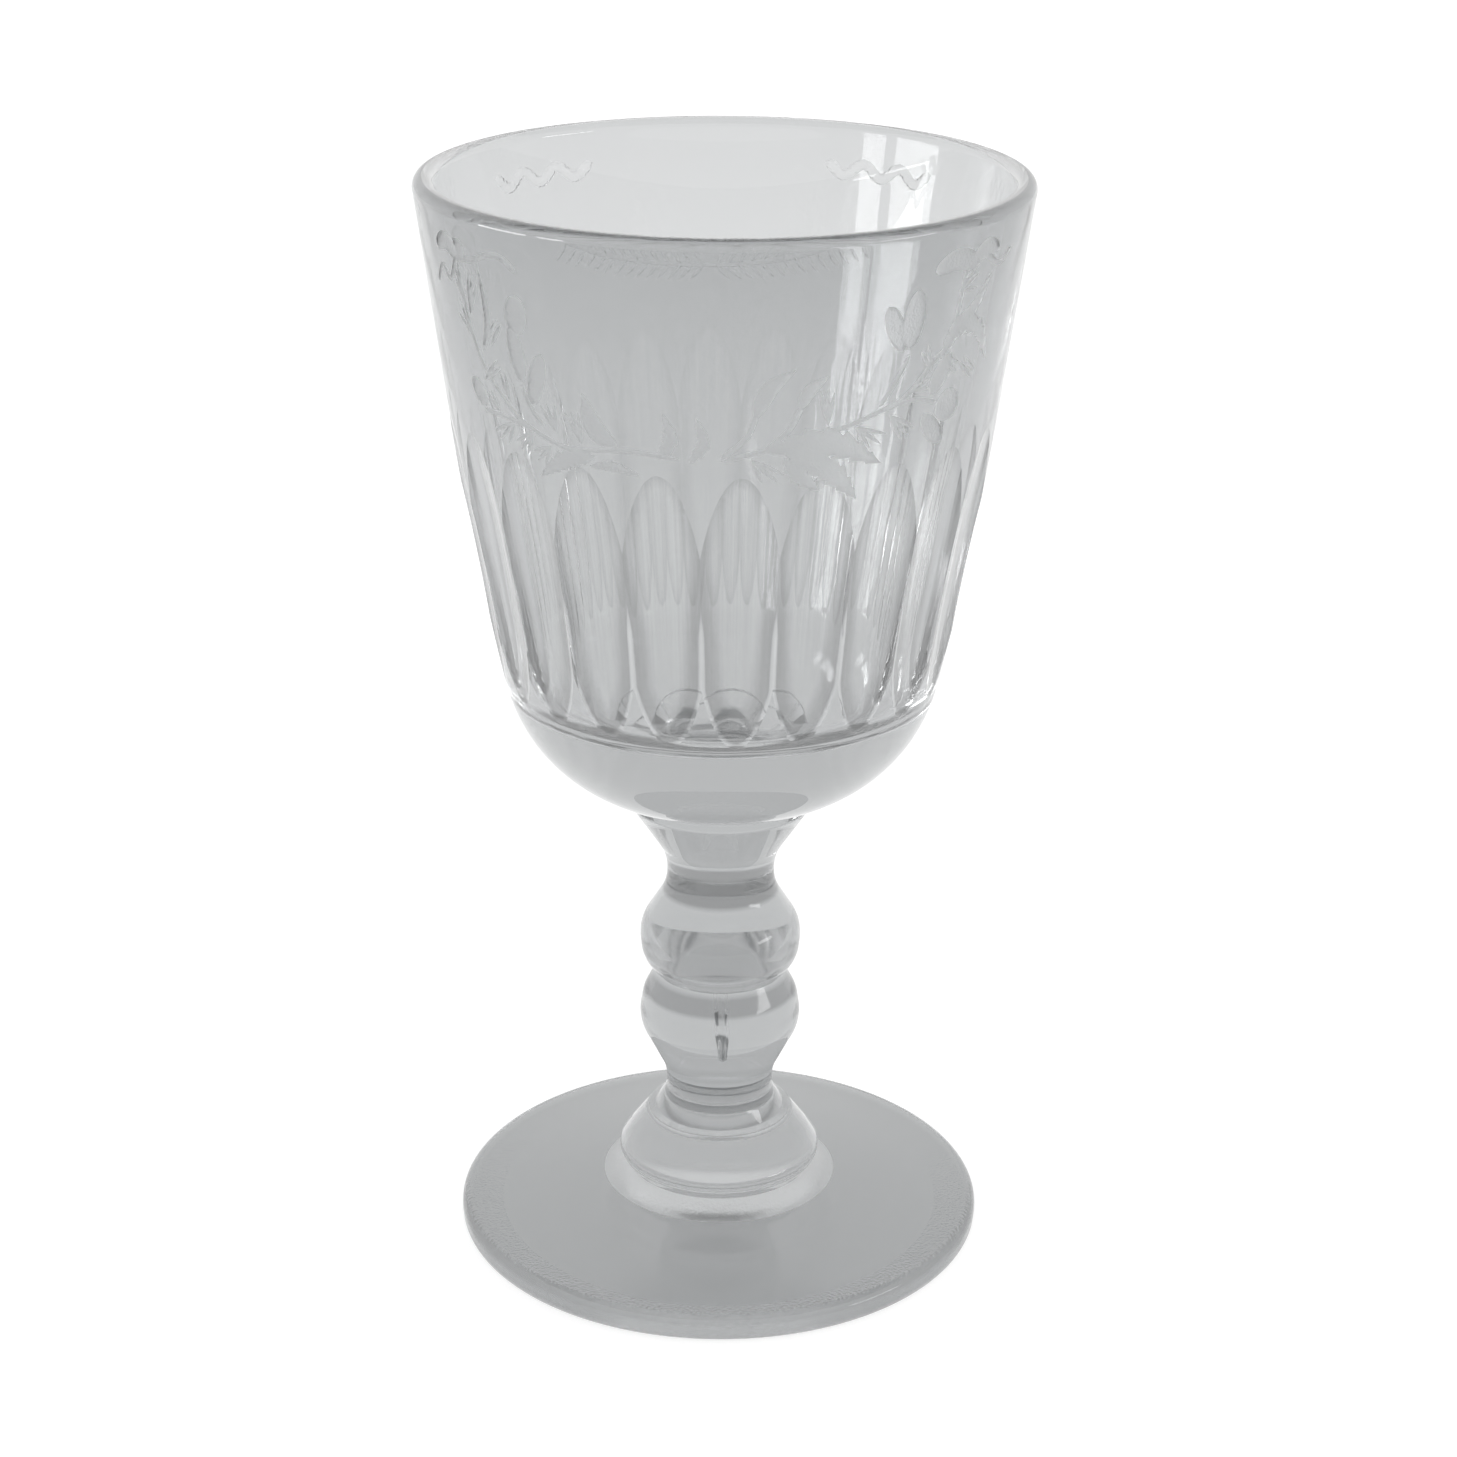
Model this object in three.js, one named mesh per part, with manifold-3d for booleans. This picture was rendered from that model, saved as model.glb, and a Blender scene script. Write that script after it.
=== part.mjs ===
import * as THREE from "three";
import { mergeVertices } from "three/addons/utils/BufferGeometryUtils.js";
import Module from "manifold-3d";

// A footed drinking glass of clear glass with a fluted bowl, on a stem of two knops.
// Lengths are in millimetres. Z is up, the axis of the glass is the Z axis, and the
// surface that the glass stands on is Z = 0. The front is towards -Y.

// Foot: a thin disc that rises a little to a low boss, hollow below, on a flat ring
const FOOT_HEIGHT = 8.6;
const FOOT_RADIUS = 36.8;
const FOOT_EDGE_HEIGHT = 3.7;
const FOOT_EDGE_ROUND = 1.6;
const FOOT_HOLLOW_DEPTH = 1.6;
const REST_RING_INNER_RADIUS = 30.5;
const FOOT_BOSS_RADIUS = 15.4;
const FOOT_BOSS_BASE_HEIGHT = 6.9;
const FOOT_BOSS_ROUND = 4;

// Foot collar: a thick rounded wafer between the foot and the stem
const FOOT_COLLAR_HEIGHT = 7.6;
const FOOT_COLLAR_RADIUS = 14.5;
const FOOT_COLLAR_BELLY_HEIGHT = 2.1;
const FOOT_COLLAR_BELLY_ROUND = 1.8;
const FOOT_COLLAR_SHOULDER_RADIUS = 12.6;
const FOOT_COLLAR_SHOULDER_HEIGHT = 4.8;
const FOOT_COLLAR_SHOULDER_ROUND = 3.2;
const FOOT_COLLAR_TOP_RADIUS = 10.4;
const FOOT_COLLAR_SEAT_RADIUS = 13.1;

// Lower knop: the lower half of the stem, with a small skirt and a long tear of air in it
const LOWER_KNOP_HEIGHT = 22.1;
const LOWER_KNOP_SKIRT_RADIUS = 10;
const LOWER_KNOP_SKIRT_THICKNESS = 0.5;
const LOWER_KNOP_FLARE_RADIUS = 9;
const LOWER_KNOP_FLARE_HEIGHT = 0.9;
const LOWER_KNOP_FLARE_ROUND = 5;
const LOWER_KNOP_NECK_RADIUS = 7.45;
const LOWER_KNOP_NECK_FOOT = 3.6;
const LOWER_KNOP_NECK_HEAD = 6.9;
const LOWER_KNOP_NECK_ROUND = 7.5;
const LOWER_KNOP_BULGE_RADIUS = 11.45;
const LOWER_KNOP_BULGE_HEIGHT = 14.6;
const LOWER_KNOP_BULGE_ROUND = 7.6;
const LOWER_KNOP_SHOULDER_RADIUS = 10.75;
const LOWER_KNOP_SHOULDER_HEIGHT = 18.8;
const LOWER_KNOP_SHOULDER_ROUND = 5;
const TEAR_RADIUS = 0.9;
const TEAR_LENGTH = 11;
const TEAR_TIP_LENGTH = 1.6;

// Waist: where the two knops meet in a crease
const WAIST_RADIUS = 9;

// Upper knop: the upper half of the stem
const UPPER_KNOP_HEIGHT = 15.1;
const UPPER_KNOP_CHIN_RADIUS = 10.9;
const UPPER_KNOP_CHIN_HEIGHT = 2.2;
const UPPER_KNOP_CHIN_ROUND = 5;
const UPPER_KNOP_BULGE_RADIUS = 11.3;
const UPPER_KNOP_BULGE_HEIGHT = 6.9;
const UPPER_KNOP_BULGE_ROUND = 6;
const UPPER_KNOP_NECK_RADIUS = 7.4;
const UPPER_KNOP_NECK_FOOT = 13.1;
const UPPER_KNOP_NECK_ROUND = 6.5;

// Bowl collar: the trumpet that carries the bowl
const BOWL_COLLAR_HEIGHT = 11.6;
const BOWL_COLLAR_NECK_HEAD = 2.4;
const BOWL_COLLAR_NECK_ROUND = 9;
const BOWL_COLLAR_RADIUS = 12.7;
const BOWL_COLLAR_EDGE_THICKNESS = 1.2;
const BOWL_COLLAR_EDGE_ROUND = 0.6;

// Bowl: a straight-sided cup that turns in to a thick round base
const BOWL_HEIGHT = 85;
const BOWL_SEAT_RADIUS = 12.4;
const BOWL_BASE_TURN_RADIUS = 26.6;
const BOWL_BASE_TURN_HEIGHT = 5.5;
const BOWL_BASE_ROUND = 21.7;
const BOWL_WAIST_RADIUS = 33.15;
const BOWL_WAIST_HEIGHT = 35;
const BOWL_WAIST_ROUND = 300;
const BOWL_RIM_RADIUS = 40.05;
const LIP_THICKNESS = 3;
const LIP_ROUND = 1.4;
const WALL_AT_WAIST = 4.2;
const BASE_THICKNESS = 13.5;
const CAVITY_TURN_RADIUS = 25;
const CAVITY_TURN_RISE = 1.5;
const CAVITY_TURN_ROUND = 6;

// Flutes: shallow hollows ground side by side round the bowl by a long barrel of stone.
// The hollow is the radius across a flute, and the bow is the radius along it.
const FLUTE_COUNT = 22;
const FLUTE_TOP = 55.2;
const FLUTE_BOTTOM = 17.6;
const FLUTE_HOLLOW = 22;
const FLUTE_BOW = 304;
const BARREL_OVERRUN = 3;

// Fineness of the facets
const WIDE_SIDES = 66;
const STEM_SIDES = 36;
const ARC_STEP = THREE.MathUtils.degToRad(13);
const FEWEST_ARC_STEPS = 3;
const MOST_OF_A_SIDE = 0.98;
const BARREL_SIDES = 72;
const BARREL_STEPS = 12;

const clearGlass = new THREE.MeshStandardMaterial({ color: 0xd4d8d8, roughness: 0.03, metalness: 0 });
const stemGlass = new THREE.MeshStandardMaterial({ color: 0xc2c7c8, roughness: 0.04, metalness: 0 });
const footGlass = new THREE.MeshStandardMaterial({ color: 0xb4b9ba, roughness: 0.06, metalness: 0 });

// A corner of an outline: its distance from the axis, its height, and the radius that rounds it
function corner(radius, height, round = 0) {
  return { at: new THREE.Vector2(radius, height), round };
}

// The points of an outline whose corners are rounded by arcs that touch both sides. An arc
// that has no room for its radius takes the largest that most of the shorter side allows.
function roundedOutline(corners) {
  const points = [];
  corners.forEach(({ at, round }, i) => {
    const before = corners[i - 1];
    const after = corners[i + 1];
    if (!round || !before || !after) {
      points.push(at.clone());
      return;
    }
    const inward = before.at.clone().sub(at);
    const onward = after.at.clone().sub(at);
    const half = inward.angleTo(onward) / 2;
    const room = Math.min(
      inward.length() / (before.round ? 2 : 1),
      onward.length() / (after.round ? 2 : 1),
    );
    const reach = Math.min(round / Math.tan(half), room * MOST_OF_A_SIDE);
    const radius = reach * Math.tan(half);
    const start = at.clone().addScaledVector(inward.normalize(), reach);
    const end = at.clone().addScaledVector(onward.normalize(), reach);
    const middle = inward.clone().add(onward).normalize();
    const centre = at.clone().addScaledVector(middle, radius / Math.sin(half));
    const from = start.clone().sub(centre).angle();
    const turn = signedTurn(from, end.clone().sub(centre).angle());
    const steps = Math.max(FEWEST_ARC_STEPS, Math.ceil(Math.abs(turn) / ARC_STEP));
    for (let k = 0; k <= steps; k++) {
      const angle = from + (turn * k) / steps;
      points.push(new THREE.Vector2(
        centre.x + radius * Math.cos(angle),
        centre.y + radius * Math.sin(angle),
      ));
    }
  });
  return points;
}

// The shorter way round from one angle to another
function signedTurn(from, to) {
  const turn = to - from;
  return Math.atan2(Math.sin(turn), Math.cos(turn));
}

// A solid turned about the Z axis from an outline that starts and ends on the axis
function turned(outline, sides) {
  return new THREE.LatheGeometry(outline, sides).rotateX(Math.PI / 2);
}

// The distance from the axis at which an outline, listed from the bottom up, crosses a height
function radiusAtHeight(outline, height) {
  const next = outline.findIndex((point) => point.y >= height);
  const below = outline[next - 1];
  const above = outline[next];
  return below.x + ((above.x - below.x) * (height - below.y)) / (above.y - below.y);
}

const wasm = await Module();
wasm.setup();

// A closed geometry as a solid that can be cut
function solidFrom(geometry) {
  const bare = geometry.clone();
  bare.deleteAttribute("normal");
  bare.deleteAttribute("uv");
  const merged = mergeVertices(bare);
  return new wasm.Manifold(new wasm.Mesh({
    numProp: 3,
    vertProperties: merged.attributes.position.array,
    triVerts: new Uint32Array(merged.index.array),
  }));
}

// A cut solid as a geometry again
function geometryFrom(solid) {
  const mesh = solid.getMesh();
  const geometry = new THREE.BufferGeometry();
  geometry.setAttribute("position", new THREE.BufferAttribute(mesh.vertProperties, 3));
  geometry.setIndex(new THREE.BufferAttribute(mesh.triVerts, 1));
  geometry.computeVertexNormals();
  return geometry;
}

function footGeometry() {
  return turned(roundedOutline([
    corner(0, FOOT_HOLLOW_DEPTH),
    corner(REST_RING_INNER_RADIUS, 0),
    corner(FOOT_RADIUS, 0, FOOT_EDGE_ROUND),
    corner(FOOT_RADIUS, FOOT_EDGE_HEIGHT, FOOT_EDGE_ROUND),
    corner(FOOT_BOSS_RADIUS, FOOT_BOSS_BASE_HEIGHT, FOOT_BOSS_ROUND),
    corner(FOOT_COLLAR_SEAT_RADIUS, FOOT_HEIGHT),
    corner(0, FOOT_HEIGHT),
  ]), WIDE_SIDES);
}

function footCollarGeometry() {
  return turned(roundedOutline([
    corner(0, 0),
    corner(FOOT_COLLAR_SEAT_RADIUS, 0),
    corner(FOOT_COLLAR_RADIUS, FOOT_COLLAR_BELLY_HEIGHT, FOOT_COLLAR_BELLY_ROUND),
    corner(FOOT_COLLAR_SHOULDER_RADIUS, FOOT_COLLAR_SHOULDER_HEIGHT, FOOT_COLLAR_SHOULDER_ROUND),
    corner(FOOT_COLLAR_TOP_RADIUS, FOOT_COLLAR_HEIGHT),
    corner(0, FOOT_COLLAR_HEIGHT),
  ]), STEM_SIDES);
}

function lowerKnopGeometry() {
  const tearBottom = LOWER_KNOP_HEIGHT - TEAR_LENGTH;
  return turned(roundedOutline([
    corner(0, 0),
    corner(LOWER_KNOP_SKIRT_RADIUS, 0),
    corner(LOWER_KNOP_SKIRT_RADIUS, LOWER_KNOP_SKIRT_THICKNESS),
    corner(LOWER_KNOP_FLARE_RADIUS, LOWER_KNOP_FLARE_HEIGHT),
    corner(LOWER_KNOP_NECK_RADIUS, LOWER_KNOP_NECK_FOOT, LOWER_KNOP_FLARE_ROUND),
    corner(LOWER_KNOP_NECK_RADIUS, LOWER_KNOP_NECK_HEAD, LOWER_KNOP_NECK_ROUND),
    corner(LOWER_KNOP_BULGE_RADIUS, LOWER_KNOP_BULGE_HEIGHT, LOWER_KNOP_BULGE_ROUND),
    corner(LOWER_KNOP_SHOULDER_RADIUS, LOWER_KNOP_SHOULDER_HEIGHT, LOWER_KNOP_SHOULDER_ROUND),
    corner(WAIST_RADIUS, LOWER_KNOP_HEIGHT),
    corner(TEAR_RADIUS, LOWER_KNOP_HEIGHT),
    corner(TEAR_RADIUS, tearBottom + TEAR_TIP_LENGTH),
    corner(0, tearBottom),
  ]), STEM_SIDES);
}

function upperKnopGeometry() {
  return turned(roundedOutline([
    corner(0, 0),
    corner(WAIST_RADIUS, 0),
    corner(UPPER_KNOP_CHIN_RADIUS, UPPER_KNOP_CHIN_HEIGHT, UPPER_KNOP_CHIN_ROUND),
    corner(UPPER_KNOP_BULGE_RADIUS, UPPER_KNOP_BULGE_HEIGHT, UPPER_KNOP_BULGE_ROUND),
    corner(UPPER_KNOP_NECK_RADIUS, UPPER_KNOP_NECK_FOOT, UPPER_KNOP_NECK_ROUND),
    corner(UPPER_KNOP_NECK_RADIUS, UPPER_KNOP_HEIGHT),
    corner(0, UPPER_KNOP_HEIGHT),
  ]), STEM_SIDES);
}

function bowlCollarGeometry() {
  const edgeFoot = BOWL_COLLAR_HEIGHT - BOWL_COLLAR_EDGE_THICKNESS;
  return turned(roundedOutline([
    corner(0, 0),
    corner(UPPER_KNOP_NECK_RADIUS, 0),
    corner(UPPER_KNOP_NECK_RADIUS, BOWL_COLLAR_NECK_HEAD, BOWL_COLLAR_NECK_ROUND),
    corner(BOWL_COLLAR_RADIUS, edgeFoot, BOWL_COLLAR_EDGE_ROUND),
    corner(BOWL_SEAT_RADIUS, BOWL_COLLAR_HEIGHT),
    corner(0, BOWL_COLLAR_HEIGHT),
  ]), STEM_SIDES);
}

// The outside of the bowl from its seat up to the lip
function bowlOutsideCorners() {
  return [
    corner(BOWL_SEAT_RADIUS, 0),
    corner(BOWL_BASE_TURN_RADIUS, BOWL_BASE_TURN_HEIGHT, BOWL_BASE_ROUND),
    corner(BOWL_WAIST_RADIUS, BOWL_WAIST_HEIGHT, BOWL_WAIST_ROUND),
    corner(BOWL_RIM_RADIUS, BOWL_HEIGHT, LIP_ROUND),
  ];
}

// The inside of the bowl from the lip down to the middle of its floor
function bowlInsideCorners() {
  return [
    corner(BOWL_RIM_RADIUS - LIP_THICKNESS, BOWL_HEIGHT, LIP_ROUND),
    corner(BOWL_WAIST_RADIUS - WALL_AT_WAIST, BOWL_WAIST_HEIGHT, BOWL_WAIST_ROUND),
    corner(CAVITY_TURN_RADIUS, BASE_THICKNESS + CAVITY_TURN_RISE, CAVITY_TURN_ROUND),
    corner(0, BASE_THICKNESS),
  ];
}

// The grinding barrel, leaning along the wall in the XZ plane, with its bowed side through
// the two ends of a flute
function flutingBarrel(outside) {
  const low = new THREE.Vector2(radiusAtHeight(outside, FLUTE_BOTTOM), FLUTE_BOTTOM);
  const high = new THREE.Vector2(radiusAtHeight(outside, FLUTE_TOP), FLUTE_TOP);
  const along = high.clone().sub(low);
  const halfLength = along.length() / 2;
  const halfBarrel = halfLength + BARREL_OVERRUN;
  const bowAt = (distance) => FLUTE_BOW - Math.sqrt(FLUTE_BOW ** 2 - distance ** 2);
  const profile = [new THREE.Vector2(0, -halfBarrel)];
  for (let k = 0; k <= BARREL_STEPS; k++) {
    const distance = halfBarrel * ((2 * k) / BARREL_STEPS - 1);
    profile.push(new THREE.Vector2(FLUTE_HOLLOW - bowAt(distance), distance));
  }
  profile.push(new THREE.Vector2(0, halfBarrel));
  const outward = new THREE.Vector2(along.y, -along.x).normalize();
  const axisOffset = FLUTE_HOLLOW - bowAt(halfLength);
  const centre = low.clone().add(high).divideScalar(2).addScaledVector(outward, axisOffset);
  return new THREE.LatheGeometry(profile, BARREL_SIDES)
    .rotateX(Math.PI / 2)
    .rotateY(Math.atan2(along.x, along.y))
    .translate(centre.x, 0, centre.y);
}

function bowlGeometry() {
  const outside = roundedOutline(bowlOutsideCorners());
  const whole = [corner(0, 0), ...bowlOutsideCorners(), ...bowlInsideCorners()];
  let bowl = solidFrom(turned(roundedOutline(whole), WIDE_SIDES));
  const barrel = flutingBarrel(outside);
  for (let k = 0; k < FLUTE_COUNT; k++) {
    const angle = -Math.PI / 2 + (2 * Math.PI * k) / FLUTE_COUNT;
    bowl = bowl.subtract(solidFrom(barrel.clone().rotateZ(angle)));
  }
  return geometryFrom(bowl);
}

// The pieces from the bottom up, each resting flat on the one below it
const PIECES = [
  { name: "foot", height: FOOT_HEIGHT, geometry: footGeometry(), material: footGlass },
  { name: "foot_collar", height: FOOT_COLLAR_HEIGHT, geometry: footCollarGeometry(), material: stemGlass },
  { name: "lower_knop", height: LOWER_KNOP_HEIGHT, geometry: lowerKnopGeometry(), material: stemGlass },
  { name: "upper_knop", height: UPPER_KNOP_HEIGHT, geometry: upperKnopGeometry(), material: stemGlass },
  { name: "bowl_collar", height: BOWL_COLLAR_HEIGHT, geometry: bowlCollarGeometry(), material: stemGlass },
  { name: "bowl", height: BOWL_HEIGHT, geometry: bowlGeometry(), material: clearGlass },
];

const glass = new THREE.Group();
let seat = 0;
for (const { name, height, geometry, material } of PIECES) {
  const piece = new THREE.Mesh(geometry, material);
  piece.name = name;
  piece.position.z = seat;
  seat += height;
  glass.add(piece);
}

export default glass;
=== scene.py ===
import math

import bmesh
import bpy
import numpy as np
from mathutils import Euler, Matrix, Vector
from mathutils.geometry import delaunay_2d_cdt
from mathutils.kdtree import KDTree


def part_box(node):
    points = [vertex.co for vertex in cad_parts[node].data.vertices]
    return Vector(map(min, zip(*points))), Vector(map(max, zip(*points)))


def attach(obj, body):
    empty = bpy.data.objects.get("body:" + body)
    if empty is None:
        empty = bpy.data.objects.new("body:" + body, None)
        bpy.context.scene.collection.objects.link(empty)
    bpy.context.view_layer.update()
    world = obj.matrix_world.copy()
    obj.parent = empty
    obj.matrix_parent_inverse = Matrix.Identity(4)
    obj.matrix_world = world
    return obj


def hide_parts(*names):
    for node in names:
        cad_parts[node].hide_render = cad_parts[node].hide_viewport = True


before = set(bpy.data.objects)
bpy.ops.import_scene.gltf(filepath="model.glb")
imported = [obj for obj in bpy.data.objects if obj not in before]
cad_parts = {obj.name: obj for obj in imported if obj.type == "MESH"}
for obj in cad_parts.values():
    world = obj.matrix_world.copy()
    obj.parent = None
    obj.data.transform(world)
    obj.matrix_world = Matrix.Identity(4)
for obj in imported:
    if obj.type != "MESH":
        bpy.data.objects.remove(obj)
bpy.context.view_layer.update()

# A footed drinking glass of clear glass: a bowl with ground flutes and an engraved wreath,
# on a stem of two knops between collars, with a tear of air in it, and a round foot.
# Outlines are in millimetres, like their corners' radii, and the meshes are in metres.
# Azimuth is in degrees round the Z axis from the front, -Y, towards the right, +X.

MM = 0.001


def height_of(node):
    """Height of a node in millimetres."""
    low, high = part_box(node)
    return (high.z - low.z) / MM


def seat_of(node):
    """Height of the underside of a node in millimetres."""
    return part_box(node)[0].z / MM


def reach_of(node):
    """Largest radius in millimetres that stays inside the node's box."""
    low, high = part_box(node)
    return min(high.x, high.y, -low.x, -low.y) / MM


# Foot
FOOT_EDGE_HEIGHT = 3.7
FOOT_EDGE_ROUND = 1.6
FOOT_HOLLOW_DEPTH = 1.6
REST_RING_INNER_RADIUS = 30.5
FOOT_BOSS_RADIUS = 15.4
FOOT_BOSS_BASE_HEIGHT = 6.9
FOOT_BOSS_ROUND = 4
# The frosted boss under the collar: real haze, with a lighter tint that paints light onto it.
FOOT_HAZE_AND_PAINTED_LIGHT_RADIUS = 16.4
FOOT_HAZE_AND_PAINTED_LIGHT_LOWEST = 5

# Foot collar
FOOT_COLLAR_RADIUS = 14.5
FOOT_COLLAR_BELLY_HEIGHT = 2.1
FOOT_COLLAR_BELLY_ROUND = 1.8
FOOT_COLLAR_SHOULDER_RADIUS = 12.6
FOOT_COLLAR_SHOULDER_HEIGHT = 4.8
FOOT_COLLAR_SHOULDER_ROUND = 3.2
FOOT_COLLAR_TOP_RADIUS = 10.4
FOOT_COLLAR_SEAT_RADIUS = 13.1

# Lower knop
SKIRT_RADIUS = 10
SKIRT_THICKNESS = 0.5
SKIRT_ROUND = 0.2
FLARE_RADIUS = 9
FLARE_HEIGHT = 0.9
FLARE_ROUND = 5
LOWER_NECK_RADIUS = 7.45
LOWER_NECK_FOOT = 3.6
LOWER_NECK_HEAD = 6.9
LOWER_NECK_ROUND = 7.5
LOWER_BULGE_RADIUS = 11.45
LOWER_BULGE_HEIGHT = 14.6
LOWER_BULGE_ROUND = 7.6
LOWER_SHOULDER_RADIUS = 10.75
LOWER_SHOULDER_HEIGHT = 18.8
LOWER_SHOULDER_ROUND = 5
WAIST_RADIUS = 9

# The tear of air in the lower knop: a neck that widens a little, then lobes and a blunt tip
TEAR_LENGTH = 11
TEAR_LEAN = 0.3
TEAR_MOUTH_RADIUS = 0.648
TEAR_NECK_SPREAD = 0.09
TEAR_NECK_SHARE = 0.6
TEAR_LOBE_SWELL = 0.144
TEAR_LOBE_WAVES = 0.75
TEAR_TIP_POWER = 5
TEAR_STEPS = 60

# Upper knop
UPPER_CHIN_RADIUS = 10.9
UPPER_CHIN_HEIGHT = 2.2
UPPER_CHIN_ROUND = 5
UPPER_BULGE_RADIUS = 11.3
UPPER_BULGE_HEIGHT = 6.9
UPPER_BULGE_ROUND = 6
UPPER_NECK_RADIUS = 7.4
UPPER_NECK_FOOT = 13.1
UPPER_NECK_ROUND = 6.5

# Bowl collar
BOWL_COLLAR_NECK_HEAD = 2.4
BOWL_COLLAR_NECK_ROUND = 9
BOWL_COLLAR_RADIUS = 12.7
BOWL_COLLAR_EDGE_THICKNESS = 1.2
BOWL_COLLAR_EDGE_ROUND = 0.6

# Bowl
BOWL_SEAT_RADIUS = 12.4
BASE_TURN_RADIUS = 26.6
BASE_TURN_HEIGHT = 5.5
BASE_TURN_ROUND = 21.7
BOWL_WAIST_RADIUS = 33.15
BOWL_WAIST_HEIGHT = 35
BOWL_WAIST_ROUND = 300
RIM_OVER_BOX = 0.15
LIP_THICKNESS = 3
LIP_ROUND = 1.4
WALL_AT_WAIST = 4.2
BASE_THICKNESS = 13.5
CAVITY_TURN_RADIUS = 25
CAVITY_TURN_RISE = 1.5
CAVITY_TURN_ROUND = 6
CAVITY_HAZE_HEIGHT = 7

# Flutes
FLUTE_COUNT = 22
FLUTE_TOP = 55.2
FLUTE_BOTTOM = 17.6
FLUTE_HOLLOW = 22
FLUTE_BOW = 304

# Fineness of the meshes
COLUMNS_PER_FLUTE = 16
COLUMNS = FLUTE_COUNT * COLUMNS_PER_FLUTE
STEM_COLUMNS = 160
ARC_STEP = math.radians(4)
BOWL_ARC_STEP = math.radians(2)
WALL_ARC_STEP = math.radians(0.5)
FEWEST_ARC_STEPS = 3
MOST_OF_A_SIDE = 0.98
HALVINGS = 40
SHARP_EDGE = math.radians(12)
WELD = 2e-6


# Outlines and skins

def rounded(corners, arc_step=ARC_STEP):
    """Points (radius, height) along corners (radius, height, round), each rounded by an arc.

    An arc that has no room for its radius takes the largest that most of a side allows.
    """
    points = []
    for i, corner in enumerate(corners):
        at = Vector(corner[:2])
        if len(corner) < 3 or i in (0, len(corners) - 1):
            points.append(at)
            continue
        back = Vector(corners[i - 1][:2]) - at
        on = Vector(corners[i + 1][:2]) - at
        half = back.angle(on) / 2
        room = min(
            back.length / (2 if len(corners[i - 1]) == 3 else 1),
            on.length / (2 if len(corners[i + 1]) == 3 else 1),
        )
        reach = min(corner[2] / math.tan(half), room * MOST_OF_A_SIDE)
        radius = reach * math.tan(half)
        start = at + back.normalized() * reach
        end = at + on.normalized() * reach
        middle = (back.normalized() + on.normalized()).normalized()
        centre = at + middle * radius / math.sin(half)
        begin = math.atan2(*(start - centre).yx)
        turn = math.remainder(math.atan2(*(end - centre).yx) - begin, math.tau)
        steps = max(FEWEST_ARC_STEPS, math.ceil(abs(turn) / arc_step))
        for k in range(steps + 1):
            angle = begin + turn * k / steps
            points.append(centre + radius * Vector((math.cos(angle), math.sin(angle))))
    return [(p.x, max(p.y, 0)) for p in points]


class Skin:
    """The surface of one piece, put together from patches that meet edge to edge."""

    def __init__(self):
        self.points = []
        self.faces = []
        self.slots = []
        self.shares = {}

    def patch(self, points, faces, slots, shares):
        """Adds points in millimetres, faces, a slot for each face and a share for each point."""
        first = len(self.points)
        self.shares.update((first + i, share) for i, share in enumerate(shares))
        self.points.extend(points)
        self.faces.extend([first + i for i in face] for face in faces)
        self.slots.extend(slots)

    def ring(self, radius, height, columns, centre):
        """Adds the points of one ring, or one point on the axis, and returns their numbers."""
        first = len(self.points)
        if radius == 0:
            self.points.append((*centre, height))
            return [first]
        for k in range(columns):
            angle = math.tau * k / columns - math.pi / 2
            x = centre[0] + radius * math.cos(angle)
            y = centre[1] + radius * math.sin(angle)
            self.points.append((x, y, height))
        return list(range(first, first + columns))

    def turned(self, outline, seat, slot, columns, centre_at=lambda height: (0, 0)):
        """Adds an outline turned about the axis, or about a centre for each height."""
        rings = [
            self.ring(radius, seat + height, columns, centre_at(height))
            for radius, height in outline
        ]
        for low, high in zip(rings, rings[1:]):
            for k in range(max(len(low), len(high))):
                n = (k + 1) % columns
                if len(low) == 1:
                    face = [low[0], high[n], high[k]]
                elif len(high) == 1:
                    face = [low[k], low[n], high[0]]
                else:
                    face = [low[k], low[n], high[n], high[k]]
                self.faces.append(face)
                self.slots.append(slot)

    def piece(self, name, materials, node):
        """Makes the piece, smooth but for its creases, and rides it on the root body."""
        mesh = bpy.data.meshes.new(name)
        mesh.from_pydata([Vector(p) * MM for p in self.points], [], self.faces)
        for material in materials:
            mesh.materials.append(material)
        mesh.polygons.foreach_set("material_index", self.slots)
        # The shares carry the flutes' painted highlight and painted shade.
        if self.shares:
            across = mesh.attributes.new("flute_painted_light_share", "FLOAT", "POINT")
            shares = [self.shares.get(i, 1) for i in range(len(self.points))]
            across.data.foreach_set("value", shares)
        self.finish(mesh)
        made = bpy.data.objects.new(name, mesh)
        bpy.context.scene.collection.objects.link(made)
        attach(made, "root")
        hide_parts(node)

    @staticmethod
    def finish(mesh):
        """Welds a mesh's patches and smooths it, but not over creases and material borders."""
        bm = bmesh.new()
        bm.from_mesh(mesh)
        bmesh.ops.remove_doubles(bm, verts=bm.verts, dist=WELD)
        for face in bm.faces:
            face.smooth = True
        for edge in bm.edges:
            if len(edge.link_faces) != 2:
                continue
            one, two = edge.link_faces
            border = one.material_index != two.material_index
            edge.smooth = not (border or edge.calc_face_angle(0) > SHARP_EDGE)
        bm.to_mesh(mesh)
        bm.free()


# The bowl's wall

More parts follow.
